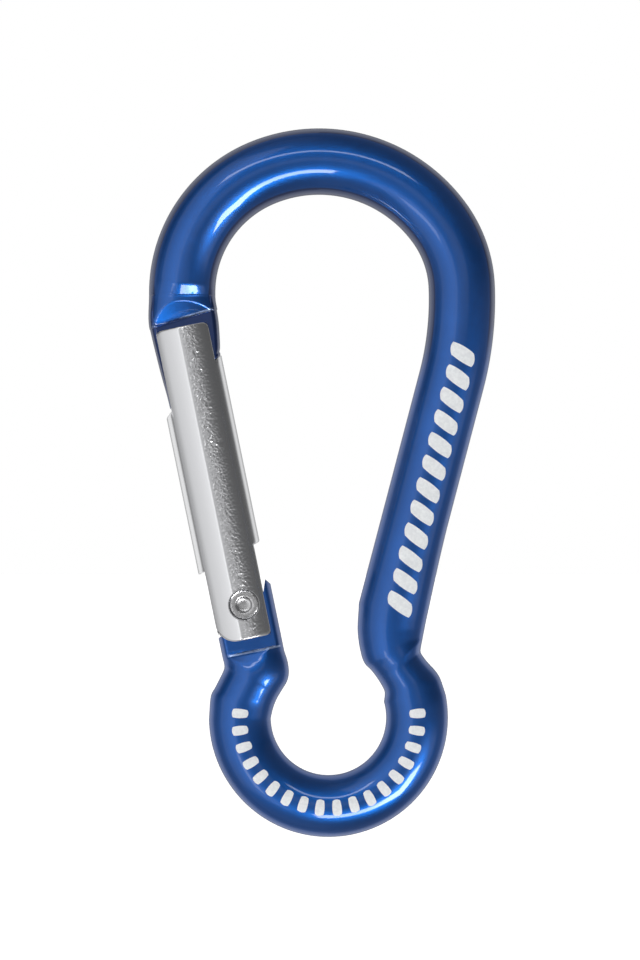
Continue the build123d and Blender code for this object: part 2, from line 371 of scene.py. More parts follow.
# Where the rod is bent hard at the two sides of the eye it is pinched: its outline there, (X, Z).
SPINE_PINCH_OUTER = (
    (14.36, -38.0), (13.58, -41.3), (12.46, -46.4), (12.03, -48.4), (11.70, -50.1), (11.50, -51.15),
    (11.50, -51.66), (11.86, -52.24), (12.42, -52.92), (13.08, -53.63), (13.63, -54.45), (14.02, -55.5),
    (14.355, -56.64),
)
SPINE_PINCH_INNER = (
    (4.85, -46.5), (4.34, -48.9), (4.48, -50.5), (4.68, -51.56), (4.90, -52.38), (5.22, -53.0),
    (5.56, -53.34), (5.92, -53.70), (6.48, -54.43), (7.01, -55.26), (7.40, -56.13), (7.56, -57.3),
)
TANG_PINCH_INNER = (
    (-5.40, -58.98), (-5.16, -57.89), (-4.75, -56.87), (-4.21, -55.94), (-3.70, -55.12), (-3.46, -54.45),
    (-3.39, -53.68), (-3.55, -52.6), (-3.90, -51.4),
)
TANG_PINCH_OUTER = (
    (-12.44, -58.98), (-12.23, -56.64), (-11.71, -55.56), (-11.17, -54.50), (-10.76, -53.62),
    (-10.70, -53.1), (-10.88, -52.3), (-11.0, -51.6),
)


def section(outer, inner, thick, limit, power=2.0, soft=EDGE_SOFT):
    """Points round the rod between its outer and inner edge. limit gives the height of the pressed faces
    from the distance outward of the middle and the height the round rod has there."""
    a = np.arange(AROUND) * 2 * pi / AROUND
    c, s = np.cos(a), np.sin(a)
    across = np.sign(c) * np.abs(c) ** (2 / power)
    height = thick * np.abs(s) ** (2 / power)
    middle, half = (outer + inner) / 2, (outer - inner).length / 2
    height = soft_min(height, limit(across * half, height), soft)
    plane = np.outer(across, np.array((outer - inner) / 2)) + np.array(middle)
    return np.stack([plane[:, 0], -np.sign(s) * height, plane[:, 1]], axis=1)


def spaced(*stops):
    """Values from the first stop to the last: (value, step up to the next) pairs, then the end."""
    values = []
    for (low, step), (high, _) in zip(stops, stops[1:]):
        count = max(1, round((high - low) / step))
        values += list(np.linspace(low, high, count, endpoint=False))
    return values + [stops[-1][0]]


def pair_at(s):
    """The rod's outer and inner edge at s."""
    centre, out = rod.at(s)
    r = rod_radius(s)
    return centre + out * r, centre - out * r


def flat(height):
    """A pressed face with no slope."""
    return lambda outward, own: height


def stepped(rise, face):
    """A face that is level with the blade where rise is 0 and is the face given where it is 1."""
    level, least = BLADE_HALF + BLADE_LIFT, BLADE_HALF + LEAST_STEP
    return lambda outward, own: level * (1 - rise) + np.maximum(face(outward, own), least) * rise


def nose_face(d):
    """The nose at d above the shoulder: the rod necks down and a flat scoop is pressed into the neck."""
    top, ramp, depth = NOSE_NECK
    low, slope, tilt = NOSE_SCOOP
    share = 1 - float(soft_min(ramp * (top - d), depth, NECK_SOFT)) / ROD
    return lambda outward, own: soft_min(own * share, low + slope * d - tilt * outward, SCOOP_SOFT)


def tang_face(d, radius):
    """The slope pressed at the tang, at d below the shoulder."""
    low, run = TANG_RAMP
    return lambda outward, own: low + (radius - low) * d / run - TANG_TILT * outward


def nose_power(d):
    """How square the rod's section is at d above the nose shoulder: the pressing has squared it."""
    return BLADE_POWER - POWER_DROP * float(smoothstep(0.0, POWER_REACH, d))


def blade_line(side):
    """An edge of the nose blade, from its tip up to the shoulder."""
    curve = curve_through([on_gate(*p) for p in side])
    return along_curve(curve, np.linspace(curve[1][-1], 0, BLADE_STEPS))


rings = []

# Nose blade.
outer_line, inner_line = blade_line(NOSE_BLADE_OUTER), blade_line(NOSE_BLADE_INNER)
tip_across = (Vector(outer_line[0]) - Vector(inner_line[0])).normalized()
tip_down = Vector((tip_across.y, -tip_across.x))
if tip_down.y > 0:
    tip_down = -tip_down
for turn in TIP_TURNS:
    less, further = NOSE_TIP_ROUND * (1 - cos(radians(turn))), NOSE_TIP_ROUND * sin(radians(turn))
    rings.append(section(
        Vector(outer_line[0]) - tip_across * less + tip_down * further,
        Vector(inner_line[0]) + tip_across * less + tip_down * further,
        BLADE_THICK - less, flat(BLADE_HALF - less), BLADE_POWER,
    ))
for o, i in zip(outer_line, inner_line):
    rings.append(section(Vector(o), Vector(i), BLADE_THICK, flat(BLADE_HALF), BLADE_POWER))

# Shoulder and ramp up to the round rod.
shoulder = [on_gate(*p) for p in NOSE_SHOULDER]
start = pair_at(0)


def hermite(a, b, ta, tb, t):
    """The curve from a to b that leaves along ta and arrives along tb, at t."""
    from_a = a * (2 * t**3 - 3 * t**2 + 1) + ta * (t**3 - 2 * t**2 + t)
    return from_a + b * (3 * t**2 - 2 * t**3) + tb * (t**3 - t**2)


nose_reach = ((shoulder[0] + shoulder[1]) / 2 - (start[0] + start[1]) / 2).length
for d in spaced((0.0, 0.03), (0.18, 0.08), (nose_reach, 0)):
    t = d / nose_reach
    edges = []
    for low, high in zip(shoulder, start):
        chord = (high - low).length
        edges.append(hermite(low, high, ALONG * chord, Vector((0, 1)) * chord, t))
    rise = float(smoothstep(*SHOULDER_RISE, d))
    thick = SHOULDER_THICK + (ROD - SHOULDER_THICK) * t
    rings.append(section(edges[0], edges[1], thick, stepped(rise, nose_face(d)), nose_power(d), NOSE_SOFT))

# Bow, spine and eye. The rings are closest where the rod is pinched.
TANG_START = rod.length
TANG_REACH = 3 * TANG_RAMP[1]
samples = spaced(
    (0.05, 0.08), (2.4, 0.5), (SPINE_START, 0.9), (SPINE_END - 3.0, 0.12), (EYE_START + 4.2, 0.45),
    (EYE_END - 4.6, 0.11), (TANG_START, 0),
)
edges = [list(pair_at(s)) for s in samples]


def reroute(which, through):
    """Lays one edge of the rod along a smooth line through the points given. Its ends lie on that edge."""
    base = np.array([pair[which] for pair in edges])
    nearest = [int(np.argmin(np.linalg.norm(base - np.array(p), axis=1))) for p in through]
    first, last = nearest[0], nearest[-1]
    through = (tuple(base[first]),) + through[1:-1] + (tuple(base[last]),)
    curve = curve_through(through)
    places = np.maximum.accumulate(np.array([samples[k] for k in nearest]) + np.arange(len(nearest)) * 1e-4)
    points = along_curve(curve, np.interp(samples[first:last + 1], places, curve[2]))
    for k, p in zip(range(first, last + 1), points):
        edges[k][which] = Vector(p)


reroute(0, SPINE_PINCH_OUTER)
reroute(1, SPINE_PINCH_INNER)
reroute(1, TANG_PINCH_INNER)
reroute(0, TANG_PINCH_OUTER)

for s, (outer, inner) in zip(samples, edges):
    radius = float(rod_thickness(s))
    to_nose, to_tang = s + nose_reach, TANG_START - s
    face, power, soft = nose_face(to_nose), nose_power(to_nose), NOSE_SOFT
    if to_tang < TANG_REACH:
        rise = float(smoothstep(*SHOULDER_RISE, to_tang))
        face = stepped(rise, tang_face(to_tang, radius))
        least, most, over = SHOULDER_SOFT
        soft = least + (most - least) * float(smoothstep(0.0, over, to_tang))
    rings.append(section(outer, inner, radius, face, power, soft))

# Tang: the rod's flattened end, cut to its outline afterwards.
tang_edge = pair_at(TANG_START)
for d in spaced((0.04, 0.4), (TANG_LENGTH, 0)):
    outer, inner = (edge + ALONG * d for edge in tang_edge)
    rings.append(section(outer, inner, EYE_ROD, flat(BLADE_HALF), soft=TANG_SOFT))

verts = np.concatenate(rings)
faces = ring_faces(len(rings), AROUND)
faces += [tuple(range(AROUND)), tuple(range(len(verts) - 1, len(verts) - 1 - AROUND, -1))]
body = make_piece("bent_rod", verts.tolist(), faces)
clean(body)

# The face the plunger runs on: its height at the bore when shut, and its rise for each radian.
CONTACT_HEIGHT = 1.7
CONTACT_RISE = 0.7
SEAT_STEPS = 5
KNUCKLE_RADIUS = 2.6
KNUCKLE_DROP = 0.9
KNUCKLE_ANGLES = (100, 115, 130, 145, 160, 172)
# The tang's top in the gate's plane, (u, v): the horn at its inner side and the foot at its outer side.
TANG_HORN = [(4.6, 1.66), (3.35, 1.66), (2.87, 2.26), (2.42, 0.95), (2.05, 0.85)]
TANG_FOOT = [(-2.72, -1.6), (-2.9, -2.9), (-3.62, -3.2), (-5.0, -3.3)]
ABOVE_TANG = [(-5.0, 6.0), (4.6, 6.0)]
CUTTER_DEPTH = 5.0


def plunger_contact(turn):
    """Where the tang meets the plunger when the gate has opened by turn."""
    height = CONTACT_HEIGHT + CONTACT_RISE * turn
    return BORE_OFFSET * cos(turn) + height * sin(turn), height * cos(turn) - BORE_OFFSET * sin(turn)


seat = [plunger_contact(OPENING * k / SEAT_STEPS) for k in range(SEAT_STEPS, -1, -1)]
knuckle = [
    (KNUCKLE_RADIUS * cos(radians(a)), KNUCKLE_RADIUS * sin(radians(a)) - KNUCKLE_DROP)
    for a in KNUCKLE_ANGLES
]
cut(body, prism("cutter", TANG_HORN + seat + knuckle + TANG_FOOT + ABOVE_TANG, CUTTER_DEPTH))
pin_hole = turned("pin_hole", [(0, -4), (PIN_HOLE, -4), (PIN_HOLE, 4), (0, 4)], PIVOT3, Y_AXIS, ACROSS3)
cut(body, pin_hole)
smooth(body, 38)

# ---------------------------------------------------------------- gate

LEAF_EDGE = asin(sqrt(GATE_RADIUS**2 - SLOT_HALF**2) / GATE_RADIUS)
FLAT_END = radians(-6.4)
FLAT_SHARE = 0.5
LEAF_COLUMNS = 48
SIDE_COLUMNS = 16
CORNERS = {"top_outer": 0.7, "top_inner": 0.7, "bottom_outer": 2.2, "bottom_inner": 0.6}
EDGE_ROUND = 0.15
EDGE_SEGMENTS = 3
END_ROWS = 24
BODY_ROWS = 40
TIP_ROWS = 4
MERGE = 0.002
SEAT_RADIUS = 1.78
SEAT_Y = 2.65
HOLE_RADIUS = 1.0
PAST_GATE = 5.0


def gate_surface(a):
    """Distance from the gate's axis at angle a from the face: round, with one drawn flat."""
    low, high = -LEAF_EDGE, FLAT_END
    if not low <= a <= high:
        return GATE_RADIUS
    middle, half = (low + high) / 2, (high - low) / 2
    chord = GATE_RADIUS * cos(half) / cos(a - middle)
    return GATE_RADIUS + (chord - GATE_RADIUS) * FLAT_SHARE


def leaf_end(u, top):
    """v of a leaf's end at u, with its two corners rounded."""
    half = GATE_RADIUS * sin(LEAF_EDGE)
    level, way = (GATE_TOP, -1) if top else (GATE_BOTTOM, 1)
    where = "top" if top else "bottom"
    for name, distance in (("outer", u - GATE_AXIS + half), ("inner", GATE_AXIS + half - u)):
        radius = CORNERS[f"{where}_{name}"]
        if distance < radius:
            level += way * (radius - sqrt(max(0.0, radius**2 - (radius - distance) ** 2)))
    return level


def grid(rows):
    """Vertices and quads of a patch given as rows of points."""
    width = len(rows[0])
    verts = [p for row in rows for p in row]
    faces = [
        (i * width + j, i * width + j + 1, (i + 1) * width + j + 1, (i + 1) * width + j)
        for i in range(len(rows) - 1)
        for j in range(width - 1)
    ]
    return verts, faces


def gate_point(u, v, y):
    """The point (X, Y, Z) at u and v of the gate's plane and at y."""
    x, z = on_gate(u, v)
    return x, y, z


def shares(count):
    """Even steps from 0 to 1."""
    return np.linspace(0, 1, count + 1)


leaf_angles = np.linspace(-LEAF_EDGE, LEAF_EDGE, LEAF_COLUMNS + 1)
leaf_u = GATE_AXIS + GATE_RADIUS * np.sin(leaf_angles)
side_angles = np.linspace(LEAF_EDGE, pi - LEAF_EDGE, SIDE_COLUMNS + 1)
patches = []
for face in (-1, 1):
    columns = []
    for a, u in zip(leaf_angles, leaf_u):
        r = gate_surface(a)
        outer_u, y = GATE_AXIS + r * sin(a), face * r * cos(a)
        low, high = slot_floor(TANG_FLOOR, u), slot_floor(NOSE_FLOOR, u)
        first, last = leaf_end(u, False), leaf_end(u, True)
        vs = np.concatenate([
            first + (low - first) * shares(END_ROWS)[:-1],
            low + (high - low) * shares(BODY_ROWS)[:-1],
            high + (last - high) * shares(END_ROWS),
        ])
        columns.append([gate_point(outer_u, v, y) for v in vs])
    patches.append(grid(columns))
    for levels, top in ((TANG_FLOOR, False), (NOSE_FLOOR, True)):
        inner, tips = [], []
        for a, u in zip(leaf_angles, leaf_u):
            floor, last = slot_floor(levels, u), leaf_end(u, top)
            below, above = (floor, last) if top else (last, floor)
            inner.append([
                gate_point(u, below + (above - below) * t, face * SLOT_HALF) for t in shares(END_ROWS)
            ])
            r = gate_surface(a)
            outer_u, y = GATE_AXIS + r * sin(a), r * cos(a)
            tips.append([
                gate_point(u + (outer_u - u) * t, last, face * (SLOT_HALF + (y - SLOT_HALF) * t))
                for t in shares(TIP_ROWS)
            ])
        patches += [grid(inner), grid(tips)]
for way in (-1, 1):
    columns = []
    for a in side_angles:
        u, y = GATE_AXIS + way * GATE_RADIUS * sin(a), -GATE_RADIUS * cos(a)
        low, high = slot_floor(TANG_FLOOR, u), slot_floor(NOSE_FLOOR, u)
        columns.append([gate_point(u, v, y) for v in low + (high - low) * shares(BODY_ROWS)])
    patches.append(grid(columns))
weights = (leaf_u - leaf_u[0]) / (leaf_u[-1] - leaf_u[0])
for levels in (TANG_FLOOR, NOSE_FLOOR):
    rows = []
    for a in side_angles:
        half = GATE_RADIUS * sin(a)
        row = GATE_AXIS - half + 2 * half * weights
        rows.append([gate_point(u, slot_floor(levels, u), -GATE_RADIUS * cos(a)) for u in row])
    patches.append(grid(rows))
verts, faces = [], []
for points, quads in patches:
    faces += [tuple(len(verts) + k for k in quad) for quad in quads]
    verts += points
gate = make_piece("gate_rod", verts, faces)
clean(gate, MERGE)
bevel(gate, EDGE_ROUND, EDGE_SEGMENTS)
half_hole = [(HOLE_RADIUS, SEAT_Y), (SEAT_RADIUS, SEAT_Y), (SEAT_RADIUS, PAST_GATE), (0, PAST_GATE)]
rivet_hole = [(r, -y) for r, y in half_hole[::-1]] + half_hole
cut(gate, turned("rivet_hole", rivet_hole, PIVOT3, Y_AXIS, ACROSS3, 72))
bore = [(0, 2), (BORE_RADIUS, 2), (BORE_RADIUS, BORE_END), (0, BORE_END)]
cut(gate, turned("bore", bore, BORE_ORIGIN, UP3, ACROSS3, 40))
smooth(gate, 30)

# ---------------------------------------------------------------- rivet, plunger and spring

HEAD = [(0.0, 2.74), (0.35, 2.745), (0.62, 2.78), (0.80, 2.86), (0.88, 2.97), (0.93, 3.03), (1.02, 3.06),
        (1.25, 3.07), (1.48, 3.055), (1.6, 3.01), (1.67, 2.93), (1.7, 2.83), (1.7, 2.66), (1.0, 2.66)]
both_heads = [(r, -y) for r, y in HEAD] + HEAD[::-1]
rivet = turned("rivet", both_heads, PIVOT3, Y_AXIS, ACROSS3, 72)

plunger_profile = [(0, 1.75), (0.2, 1.79), (0.38, 1.9), (0.5, 2.07), (0.55, 2.3), (0.55, 8.0), (0.94, 8.0),
                   (1.0, 8.06), (1.0, 9.34), (0.94, 9.4), (0, 9.4)]
plunger = turned("plunger_pin", plunger_profile, BORE_ORIGIN, UP3, ACROSS3, 40)

WIRE = 0.16
SPRING_RADIUS = 0.78
SPRING_FOOT = 9.4
SPRING_TOP = BORE_END
TURNS = 10.0
# The share of the wire in each closed end, where the turns touch.
CLOSED_END = 0.09
SPRING_STEPS = 420
WIRE_AROUND = 12


def spring_mesh():
    """A compression spring with closed ends, as one tube."""
    steps, around = SPRING_STEPS, WIRE_AROUND
    rings = []
    rise = SPRING_TOP - SPRING_FOOT - 2 * WIRE
    for k in range(steps + 1):
        t = k / steps
        turn = 2 * pi * TURNS * t
        even = np.clip((t - CLOSED_END) / (1 - 2 * CLOSED_END), 0, 1)
        ends = np.clip(t / CLOSED_END, 0, 1) + np.clip((t - 1 + CLOSED_END) / CLOSED_END, 0, 1)
        closed = 2 * WIRE * ends
        height = SPRING_FOOT + WIRE + closed + (rise - 4 * WIRE) * even
        out = ACROSS3 * cos(turn) + Y_AXIS * sin(turn)
        centre = BORE_ORIGIN + UP3 * float(height) + out * SPRING_RADIUS
        for j in range(around):
            a = 2 * pi * j / around
            rings.append(centre + (out * cos(a) + UP3 * sin(a)) * WIRE)
    faces = ring_faces(steps + 1, around)
    faces += [tuple(range(around)), tuple(range(len(rings) - 1, len(rings) - 1 - around, -1))]
    piece = make_piece("coil_spring", rings, faces)
    clean(piece)
    smooth(piece, 60)
    return piece


spring = spring_mesh()

# ---------------------------------------------------------------- plain print on the face

MARK_STEPS = 10
MARK_CORNER = 0.28
edge_lines = np.array(edges)


def rod_skin(s, share, lift):
    """A point of the printed face at s along the rod and share across it, -1 inner to 1 outer."""
    outer, inner = (
        np.array([np.interp(s, samples, edge_lines[:, side, k]) for k in (0, 1)]) for side in (0, 1)
    )
    half = (outer - inner) / 2
    x, z = (outer + inner) / 2 + half * (1 + lift / np.linalg.norm(half)) * share
    return x, -(rod_thickness(s) + lift) * sqrt(1 - share**2), z


def print_mark(verts, faces, s0, s1, low, high, slant):
    """One plain mark: a thin shell that follows the rod from s0 to s1, and from low to high across it."""
    steps, corner = MARK_STEPS, MARK_CORNER
    first = len(verts)
    for lift in (PRINT_PROUD, -PRINT_SUNK):
        for i in range(steps + 1):
            for j in range(steps + 1):
                p, q = 2 * i / steps - 1, 2 * j / steps - 1
                p, q = p * sqrt(1 - q * q * corner), q * sqrt(1 - p * p * corner)
                share = (low + high) / 2 + (high - low) / 2 * q
                s = (s0 + s1) / 2 + (s1 - s0) / 2 * p + slant * q
                verts.append(rod_skin(s, share, lift))

    def at(i, j, k):
        return first + (k * (steps + 1) + i) * (steps + 1) + j

    for i in range(steps):
        for j in range(steps):
            faces.append((at(i, j, 0), at(i, j + 1, 0), at(i + 1, j + 1, 0), at(i + 1, j, 0)))
            faces.append((at(i, j, 1), at(i + 1, j, 1), at(i + 1, j + 1, 1), at(i, j + 1, 1)))
    for i in range(steps):
        for j in (0, steps):
            faces.append((at(i, j, 0), at(i + 1, j, 0), at(i + 1, j, 1), at(i, j, 1)))
    for j in range(steps):
        for i in (0, steps):
            faces.append((at(i, j, 0), at(i, j + 1, 0), at(i, j + 1, 1), at(i, j, 1)))


def print_row(name, start, pitch, count, length, low, high, slant):
    """A row of marks of one length along the rod, a pitch apart."""
    verts, faces = [], []
    for k in range(count):
        s = start + k * pitch
        print_mark(verts, faces, s, s + length, low, high, slant)
    piece = make_piece(name, verts, faces)
    clean(piece)
    smooth(piece, 40)
    return piece


spine_print = print_row(
    "spine_print", SPINE_START - 3.9, pitch=2.62, count=12, length=1.75, low=-0.25, high=0.52, slant=0.55,
)
eye_print = print_row(
    "eye_print", EYE_START + 5.82, pitch=1.92, count=18, length=1.05, low=-0.26, high=0.26, slant=0.0,
)

# ---------------------------------------------------------------- materials


class Graph:
    """Short ways to add nodes to a shader tree."""

    def __init__(self, tree):
        self.tree = tree
        tree.nodes.clear()

    def node(self, kind, inputs=None, **settings):
        node = self.tree.nodes.new(kind)
        for key, value in settings.items():
            setattr(node, key, value)
        for key, value in (inputs or {}).items():
            self.put(node.inputs[key], value)
        return node

    def put(self, socket, value):
        if isinstance(value, bpy.types.NodeSocket):
            self.tree.links.new(value, socket)
        else:
            socket.default_value = value

    def math(self, operation, *values):
        node = self.node("ShaderNodeMath", operation=operation)
        for socket, value in zip(node.inputs, values):
            self.put(socket, value)
        return node.outputs[0]

    def vector(self, operation, *values):
        node = self.node("ShaderNodeVectorMath", operation=operation)
        for socket, value in zip(node.inputs, values):
            self.put(socket, value)
        return node.outputs["Value" if operation in ("DOT_PRODUCT", "LENGTH") else "Vector"]

    def step(self, value, low, high):
        """0 below low and 1 above high, with a smooth rise between."""
        inputs = {"Value": value, "From Min": low, "From Max": high}
        return self.node("ShaderNodeMapRange", inputs, interpolation_type="SMOOTHSTEP").outputs[0]

    def fall(self, value, low, high):
        """1 below low and 0 above high, with a smooth fall between."""
        return self.math("SUBTRACT", 1.0, self.step(value, low, high))

    def noise(self, vector, scale, detail=3.0, rough=0.5):
        inputs = {"Vector": vector, "Scale": scale, "Detail": detail, "Roughness": rough}
        return self.node("ShaderNodeTexNoise", inputs).outputs["Fac"]

    def mix(self, factor, a, b):
        node = self.node("ShaderNodeMix", data_type="RGBA")
        self.put(node.inputs["Factor"], factor)
        self.put(node.inputs["A"], a)
        self.put(node.inputs["B"], b)
        return node.outputs["Result"]


def metal(name, build, **constants):
    """A material on a Principled shader: build(graph) gives the linked inputs."""
    material = bpy.data.materials.new(name)
    material.use_nodes = True
    graph = Graph(material.node_tree)
    shader = graph.node("ShaderNodeBsdfPrincipled")
    for key, value in constants.items():
        shader.inputs[key.replace("_", " ")].default_value = value
    place = graph.node("ShaderNodeTexCoord").outputs["Object"]
    for key, value in build(graph, place).items():
        graph.put(shader.inputs[key], value)
    output = graph.node("ShaderNodeOutputMaterial")
    graph.put(output.inputs["Surface"], shader.outputs[0])
    return material


def total_of(graph, *values):
    """The sum of the values."""
    total = values[0]
    for value in values[1:]:
        total = graph.math("ADD", total, value)
    return total


BUMP = 0.1 * MM


def bump(graph, height, strength, distance=BUMP):
    """The normal of a surface raised by height; distance is in metres."""
    node = graph.node("ShaderNodeBump", {"Height": height, "Strength": strength, "Distance": distance})
    return node.outputs[0]


def across_gate(graph, place):
    """u and v of the gate's plane, in millimetres, at a shaded point."""
    moved = graph.vector("SUBTRACT", place, PIVOT3 * MM)
    u = graph.math("MULTIPLY", graph.vector("DOT_PRODUCT", moved, ACROSS3), 1 / MM)
    v = graph.math("MULTIPLY", graph.vector("DOT_PRODUCT", moved, UP3), 1 / MM)
    return u, v


# Linear colours; the pairs are the two ends of a slight mottle.
BLUE = ((0.003, 0.088, 0.375, 1), (0.004, 0.102, 0.43, 1))
# Shoulder edges, rubbed thin and lightened as a painted edge highlight.
BLUE_WORN_HIGHLIGHT = (0.44, 0.60, 0.95, 1)
# Painted shade: the nose blade's faces are darkened towards this blue, as if in shadow under the gate leaf
# and shoulder.
BLADE_SHADE_BLUE = (0.002, 0.012, 0.08, 1)
BLADE_SHADE_SHARE = 0.8
BLADE_SHADE_DEPTH = (BLADE_HALF + 0.02, BLADE_HALF + 0.25)
BLADE_SHADE_ABOVE = (20.0, 26.0)
GATE_CLEAR = ((0.71, 0.715, 0.735, 1), (0.75, 0.755, 0.775, 1))
# Painted shade: the gate's inner half is darkened towards this grey.
GATE_SHADED = (0.54, 0.545, 0.56, 1)
# Painted reflection: the gate's round sides are lightened as if mirroring the bright backdrop.
GATE_SIDE_SHEEN = (0.95, 0.955, 0.97, 1)
STEEL = ((0.42, 0.42, 0.43, 1), (0.62, 0.62, 0.63, 1))
INK = ((0.74, 0.76, 0.78, 1), (0.86, 0.88, 0.89, 1))
FLOOR = ((0.90, 0.90, 0.90, 1), (0.94, 0.94, 0.94, 1))
# Where the gate's bands start and end, as ranges of u: the pitted strip, the inner half with painted shade,
# the two sides with a painted reflection.
STRIP_START, STRIP_END = (-0.9, -0.4), (0.6, 1.8)
SHADE_START, SHADE_END = (0.0, 2.2), (2.7, 2.85)
OUTER_SHEEN, INNER_SHEEN = (-3.85, -3.65), (2.6, 2.8)
# Shoulder edges where the colour is rubbed thin and lightened as a painted edge highlight: v at u = 0,
# slope, from u, to u, half width.
WORN_HIGHLIT_EDGES = (
    (33.02, 0.0875, -0.8, 3.7, 0.14),
    (33.02, 0.0875, -4.2, -3.3, 0.12),
    (-5.36, 0.0, -3.1, 3.2, 0.11),
)


def worn_highlit_edge(graph, u, v, level, slope, first, last, half):
    """1 along a straight line of the gate's plane and 0 away from it."""
    off = graph.math("ABSOLUTE", graph.math("SUBTRACT", v, graph.math("MULTIPLY_ADD", u, slope, level)))
    on = graph.fall(off, 0.4 * half, 1.3 * half)
    within = graph.math("SUBTRACT", graph.step(u, first, first + 0.5), graph.step(u, last - 0.3, last))
    return graph.math("MULTIPLY", on, within)


def anodised(graph, place):
    """Blue dye over satin metal, clear-coated, with painted shade on the nose blade, and shoulder edges
    rubbed thin and lightened as a painted highlight.
    """
    broad = graph.noise(place, 120.0, 2.0)
    fine = graph.noise(place, 900.0, 4.0)
    tone = graph.math("ADD", graph.math("MULTIPLY", broad, 0.7), graph.math("MULTIPLY", fine, 0.3))
    colour = graph.mix(graph.step(tone, 0.35, 0.65), *BLUE)
    u, v = across_gate(graph, place)
    # The shoulder edges are rubbed thin and lightened as a painted highlight.
    worn = total_of(graph, *(worn_highlit_edge(graph, u, v, *edge) for edge in WORN_HIGHLIT_EDGES))
    worn = graph.math("MULTIPLY", worn, graph.step(fine, 0.2, 0.5))
    colour = graph.mix(worn, colour, BLUE_WORN_HIGHLIGHT)
    # Painted shade: the blade faces near the middle of the rod's thickness, towards the nose, are darkened.
    y = graph.node("ShaderNodeSeparateXYZ", {"Vector": place}).outputs["Y"]
    depth = graph.math("MULTIPLY", graph.math("ABSOLUTE", y), 1 / MM)
    pressed = graph.math("MULTIPLY", graph.fall(depth, *BLADE_SHADE_DEPTH), graph.step(v, *BLADE_SHADE_ABOVE))
    colour = graph.mix(graph.math("MULTIPLY", pressed, BLADE_SHADE_SHARE), colour, BLADE_SHADE_BLUE)
    rough = graph.math("ADD", graph.math("MULTIPLY", fine, 0.06), 0.38)
    peel = graph.noise(place, 420.0, 2.0)
    return {
        "Base Color": colour,
        "Roughness": rough,
        "Normal": bump(graph, peel, 0.10, 2 * BUMP),
        "Coat Normal": bump(graph, peel, 0.02, 2 * BUMP),
    }


def bright_gate(graph, place):
    """Drawn aluminium: fine lines along the gate and a pitted strip, with painted shade on the inner half
    and a painted reflection on the two sides.
    """
    u, _ = across_gate(graph, place)
    strip = graph.math("MULTIPLY", graph.step(u, *STRIP_START), graph.fall(u, *STRIP_END))
    pebbles = graph.node("ShaderNodeTexVoronoi", {"Vector": place, "Scale": 3300.0}).outputs["Distance"]
    pits = graph.math("ADD", graph.math("MULTIPLY", pebbles, 0.7), graph.noise(place, 2600.0, 1.0))
    pits = graph.math("SUBTRACT", pits, 0.75)
    fine = graph.noise(place, 5200.0, 2.0)
    stretched = graph.vector("MULTIPLY", place, (5000.0, 5000.0, 300.0))
    lines = graph.noise(stretched, 1.0, 2.0)
    height = graph.math("ADD", graph.math("MULTIPLY", pits, strip), graph.math("MULTIPLY", lines, 0.02))
    rough = graph.math("ADD", graph.math("MULTIPLY", fine, 0.05), 0.2)
    # Painted shade on the inner half, and a painted reflection of the bright backdrop on the two sides.
    shaded_half = graph.math("SUBTRACT", graph.step(u, *SHADE_START), graph.step(u, *SHADE_END))
    side = graph.math("ADD", graph.step(u, *INNER_SHEEN), graph.fall(u, *OUTER_SHEEN))
    colour = graph.mix(shaded_half, graph.mix(fine, *GATE_CLEAR), GATE_SHADED)
    colour = graph.mix(side, colour, GATE_SIDE_SHEEN)
    return {"Base Color": colour, "Roughness": rough, "Normal": bump(graph, height, 0.64)}


def steel(graph, place):
    """Satin steel, mottled."""
    fine = graph.noise(place, 4200.0, 3.0)
    broad = graph.noise(place, 900.0, 2.0)
    colour = graph.mix(broad, *STEEL)
    rough = graph.math("ADD", graph.math("MULTIPLY", fine, 0.15), 0.2)
    return {"Base Color": colour, "Roughness": rough, "Normal": bump(graph, fine, 0.25)}


def ink(graph, place):
    """White print, slightly worn."""
    wear = graph.noise(place, 2600.0, 4.0, 0.6)
    colour = graph.mix(graph.step(wear, 0.3, 0.75), *INK)
    return {"Base Color": colour, "Roughness": graph.math("ADD", graph.math("MULTIPLY", wear, 0.2), 0.35)}


blue = metal(
    "anodised_blue", anodised, Metallic=1.0, Coat_Weight=0.66, Coat_Roughness=0.02, Coat_IOR=1.62,
)
bright = metal("bright_aluminium", bright_gate, Metallic=1.0)
grey = metal("grey_steel", steel, Metallic=1.0)
white = metal("white_print", ink, Metallic=0.0)

# ---------------------------------------------------------------- what each piece stands for

for piece, material, node_slot, rides, node in (
    (body, blue, "anodised_frame", "frame", "frame"),
    (gate, bright, "bright_gate", "gate", "gate"),
    (rivet, grey, "rivet_steel", "gate", "hinge_rivet"),
    (spring, grey, "spring_steel", "gate", "gate_spring"),
    (plunger, grey, "plunger_steel", "plunger", "spring_plunger"),
    (spine_print, white, "anodised_frame", "frame", None),
    (eye_print, white, "anodised_frame", "frame", None),
):
    piece.data.materials.clear()
    piece.data.materials.append(material)
    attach(piece, rides)
    if node:
        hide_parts(node)
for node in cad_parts.values():
    node.data.materials.clear()
    node.data.materials.append(bright)
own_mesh(spring)

# ---------------------------------------------------------------- floor, light and camera

low, high = cad_box
middle = (low + high) / 2
FLOOR_DROP = 0.03
FLOOR_HALF = 3.0
floor_z = low.z - FLOOR_DROP
floor_mesh = bpy.data.meshes.new("floor")
floor_corners = [(x * FLOOR_HALF, y * FLOOR_HALF, floor_z) for x, y in ((-1, -1), (1, -1), (1, 1), (-1, 1))]
floor_mesh.from_pydata(floor_corners, [], [(0, 1, 2, 3)])
floor = bpy.data.objects.new("floor", floor_mesh)
bpy.context.scene.collection.objects.link(floor)
floor.visible_glossy = False
body.visible_glossy = False


def floor_paint(graph, place):
    """Pale, with a very broad mottle."""
    return {"Base Color": graph.mix(graph.noise(place, 8.0, 2.0), *FLOOR)}


